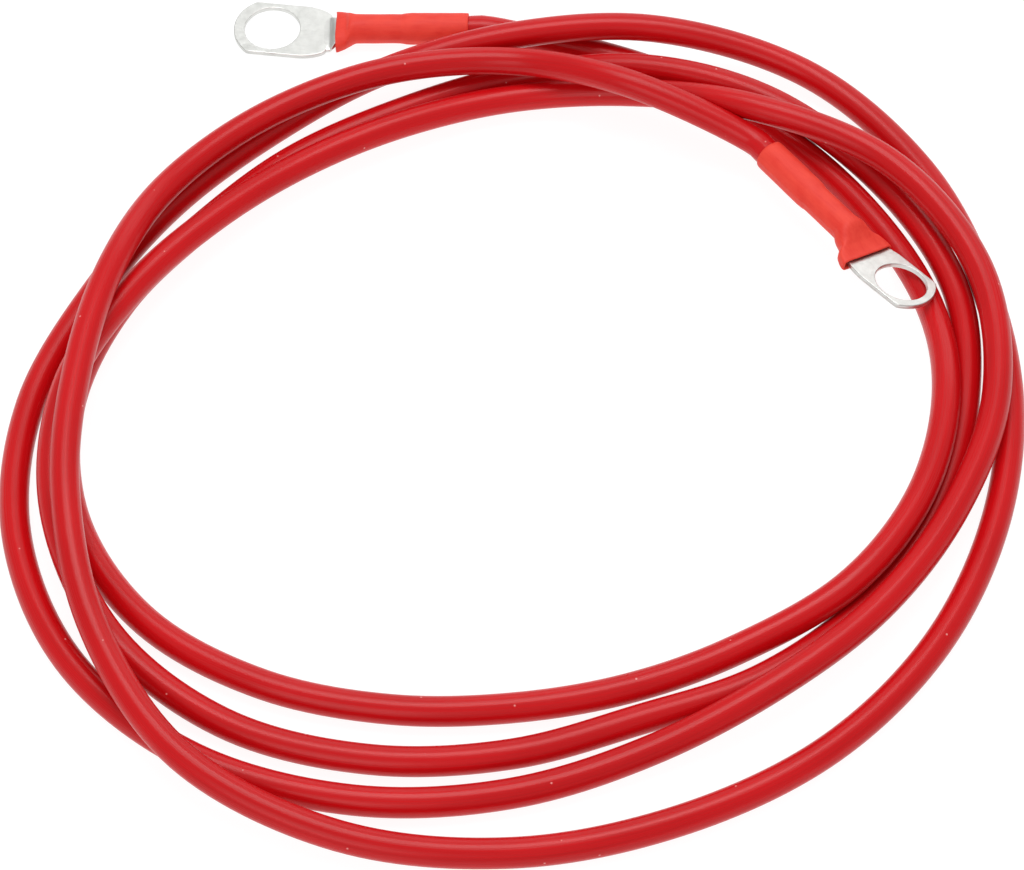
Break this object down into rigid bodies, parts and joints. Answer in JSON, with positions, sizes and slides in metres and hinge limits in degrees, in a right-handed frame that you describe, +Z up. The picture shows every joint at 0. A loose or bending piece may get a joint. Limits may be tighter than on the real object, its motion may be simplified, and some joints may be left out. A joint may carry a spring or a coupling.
{
  "type": "battery cable",
  "caption": "Insulated red battery cable lying in loose open turns, with a tinned tube ring lug and a heat-shrink sleeve on each end.",
  "frame": {"origin": "centre of the bounding box's bottom face, on the floor that the cable lies on", "axes": "+Z up from the floor; -Y towards the viewer of the picture; lug_a lies at the far left (-X, +Y) with its barrel along X"},
  "size_m": [0.2246, 0.2394, 0.0203],
  "materials": {
    "insulation": "satin red PVC insulation with fine lengthwise streaks",
    "tinned_metal": "satin tin plating over copper",
    "heat_shrink": "matte orange-red shrunk tubing"
  },
  "bodies": {
    "root": {"cable": "insulation", "lug_a": "tinned_metal", "lug_b": "tinned_metal", "sleeve_a": "heat_shrink", "sleeve_b": "heat_shrink"}
  },
  "joints": []
}
